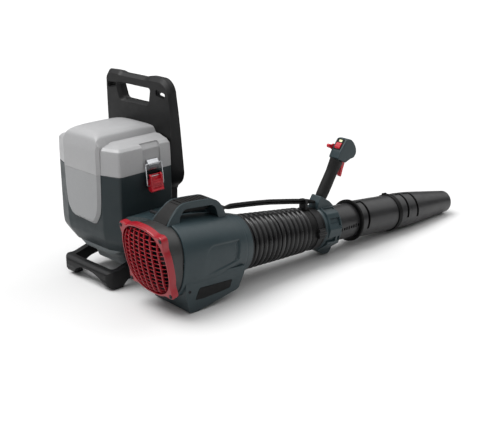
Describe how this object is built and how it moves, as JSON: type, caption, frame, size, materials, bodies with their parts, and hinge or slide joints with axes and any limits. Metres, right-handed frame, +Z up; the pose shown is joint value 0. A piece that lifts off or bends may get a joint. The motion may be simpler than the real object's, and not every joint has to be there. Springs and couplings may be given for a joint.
{
  "type": "backpack leaf blower",
  "caption": "Battery backpack leaf blower: lidded pack on a back frame, side-mounted axial blower, bellows hose, control handle, telescoping tube and tapered nozzle.",
  "frame": {"origin": "centre of the bounding box in X and Y, on the floor in Z", "axes": "+Y is the wearer's forward direction, along the tube to the nozzle; +X is the wearer's right, the blower side; +Z is up"},
  "size_m": [0.5178, 1.1474, 0.508],
  "materials": {
    "slate": "satin moulded, blue-grey",
    "black": "fine-textured moulded black",
    "light": "satin moulded, light grey",
    "red": "satin moulded, deep red",
    "rubber": "matt black rubber",
    "overmould": "fine-textured soft-touch dark grey",
    "steel": "zinc-plated",
    "aluminium": "as cast",
    "battery": "matt dark grey",
    "foam": "padded mesh fabric over foam",
    "webbing": "woven polyester webbing",
    "lens": "translucent indicator lens"
  },
  "bodies": {
    "pack": {"back_frame": "black", "foot_loop": "black", "case_shell": "slate", "case_panel": "light", "case_tray": "light", "battery_pack": "battery", "battery_dock": "black", "controller_box": "aluminium", "lid_hinge_pin": "steel", "latch_base": "black", "latch_pin": "steel", "back_pad": "foam", "shoulder_strap_left": "foam", "shoulder_strap_right": "foam", "strap_web_left": "webbing", "strap_web_right": "webbing", "blower_housing": "slate", "inlet_band": "black", "inlet_grille": "red", "grille_screw_1": "steel", "grille_screw_2": "steel", "grille_screw_3": "steel", "grille_screw_4": "steel", "base_block": "slate", "side_plate": "black", "block_screw": "steel", "carry_handle": "slate", "handle_cap": "overmould", "mount_bracket": "slate", "lock_pin": "steel", "motor": "aluminium", "stator": "black", "outlet_collar": "black", "bellows_rear": "rubber", "cable_rear": "rubber", "cable_gland": "black"},
    "lid": {"case_lid": "light", "lid_catch": "steel"},
    "latch": {"latch_lever": "red"},
    "bail": {"latch_bail": "steel"},
    "fan": {"fan_rotor": "black"},
    "hose_mid": {"bellows_ring": "rubber"},
    "tube": {"bellows_front": "rubber", "hose_cuff": "rubber", "cuff_strap": "black", "handle_clamp": "slate", "control_grip": "overmould", "control_head": "slate", "led_lens": "lens", "inner_tube": "black", "cable_front": "rubber", "cable_clip": "black"},
    "outer": {"outer_tube": "black", "seal_ring": "rubber"},
    "nozzle": {"nozzle_adapter": "black", "nozzle_cone": "black"},
    "trigger_body": {"trigger": "red"},
    "button_body": {"power_button": "red"},
    "speed_body": {"speed_lever": "red"}
  },
  "joints": [
    {"name": "lid_hinge", "type": "hinge", "parent": "pack", "child": "lid", "pos_m": [-0.24736, -0.43416, 0.297], "axis": [0, -1, 0], "range_deg": [0, 95]},
    {"name": "latch_lever_hinge", "type": "hinge", "parent": "pack", "child": "latch", "pos_m": [0.02064, -0.41216, 0.286], "axis": [0, -1, 0], "range_deg": [0, 110]},
    {"name": "latch_bail_hinge", "type": "hinge", "parent": "latch", "child": "bail", "pos_m": [0.02414, -0.41216, 0.263], "axis": [0, -1, 0], "range_deg": [-150, 0]},
    {"name": "fan_spin", "type": "hinge", "parent": "pack", "child": "fan", "pos_m": [0.1532, -0.47941, 0.1292], "axis": [0.0641, 0.9939, -0.0901], "continuous": true},
    {"name": "hose_yaw", "type": "hinge", "parent": "pack", "child": "hose_mid", "pos_m": [0.1732, -0.16932, 0.10108], "axis": [0.0058, 0.0899, 0.9959], "range_deg": [-15, 15], "stiffness_Nm_per_rad": 4, "deforming": ["bellows_rear", "cable_rear"]},
    {"name": "hose_pitch", "type": "hinge", "parent": "hose_mid", "child": "tube", "pos_m": [0.1732, -0.16932, 0.10108], "axis": [0.9979, -0.0644, 0], "range_deg": [-12, 20], "stiffness_Nm_per_rad": 6, "deforming": ["bellows_front", "cable_front"]},
    {"name": "tube_slide", "type": "slide", "parent": "tube", "child": "outer", "axis": [0.0641, 0.9939, -0.0901], "range_m": [-0.06, 0.03]},
    {"name": "nozzle_twist", "type": "hinge", "parent": "outer", "child": "nozzle", "pos_m": [0.20461, 0.31768, 0.05693], "axis": [0.0641, 0.9939, -0.0901], "range_deg": [0, 20]},
    {"name": "trigger_pull", "type": "hinge", "parent": "tube", "child": "trigger_body", "pos_m": [0.19098, 0.10627, 0.25683], "axis": [-0.9979, 0.0644, 0], "range_deg": [0, 10], "stiffness_Nm_per_rad": 0.8, "springref_deg": -6.88},
    {"name": "power_button_press", "type": "slide", "parent": "tube", "child": "button_body", "axis": [0.0504, 0.7815, -0.6218], "range_m": [0, 0.0015], "stiffness_N_per_m": 800, "springref_m": -0.001},
    {"name": "speed_lever_turn", "type": "hinge", "parent": "tube", "child": "speed_body", "pos_m": [0.18994, 0.09026, 0.29041], "axis": [0.9979, -0.0644, 0], "range_deg": [-20, 35]}
  ],
  "couplings": [
    {"joint": "latch_bail_hinge", "follows": "latch_lever_hinge", "ratio": -1.3333}
  ]
}
